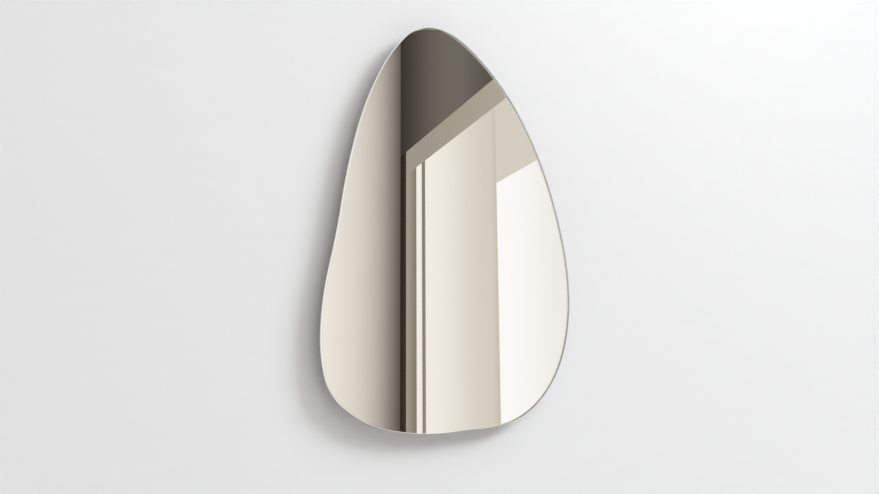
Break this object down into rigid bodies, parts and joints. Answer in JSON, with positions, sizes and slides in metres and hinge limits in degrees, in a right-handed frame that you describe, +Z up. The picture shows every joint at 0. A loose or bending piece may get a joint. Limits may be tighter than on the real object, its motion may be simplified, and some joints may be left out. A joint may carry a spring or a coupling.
{
  "type": "irregular shaped wall mirror",
  "caption": "Frameless wall mirror in a free, pear-like outline, bonded to an inset backboard that hooks onto a wall rail and lifts off it.",
  "frame": {"origin": "on the wall plane, midway between the two screw holes of the wall rail, straight behind the pane's middle of weight", "axes": "+Z up, +X to the right as seen from the front, +Y into the wall: the pane faces -Y"},
  "size_m": [0.49, 0.0269, 0.7],
  "materials": {
    "glass": "clear float glass with a polished edge",
    "silver": "silvered",
    "protective_paint": "satin grey-green",
    "safety_film": "woven white film",
    "foam_tape": "soft foam",
    "adhesive": "cured, satin",
    "board": "fine fibreboard",
    "rail": "mill finish with fine lines along its length",
    "screw": "zinc plated",
    "spacer": "fine grained moulding",
    "pad": "pressed felt"
  },
  "bodies": {
    "wall_side": {"wall_rail": "rail"},
    "mirror": {"mirror_glass": "glass", "silver_layer": "silver", "back_paint": "protective_paint", "safety_film": "safety_film", "tape_top": "foam_tape", "tape_left": "foam_tape", "tape_bottom": "foam_tape", "tape_right": "foam_tape", "adhesive_bead_left": "adhesive", "adhesive_bead_centre": "adhesive", "adhesive_bead_right": "adhesive", "backboard": "board", "hanging_rail": "rail", "hanging_rail_screws": "screw", "lower_spacer_left": "spacer", "lower_spacer_right": "spacer", "spacer_screws": "screw", "spacer_pad_left": "pad", "spacer_pad_right": "pad"}
  },
  "joints": [
    {"name": "lift_off", "type": "slide", "parent": "wall_side", "child": "mirror", "axis": [0, 0, 1], "range_m": [0, 0.012]}
  ]
}
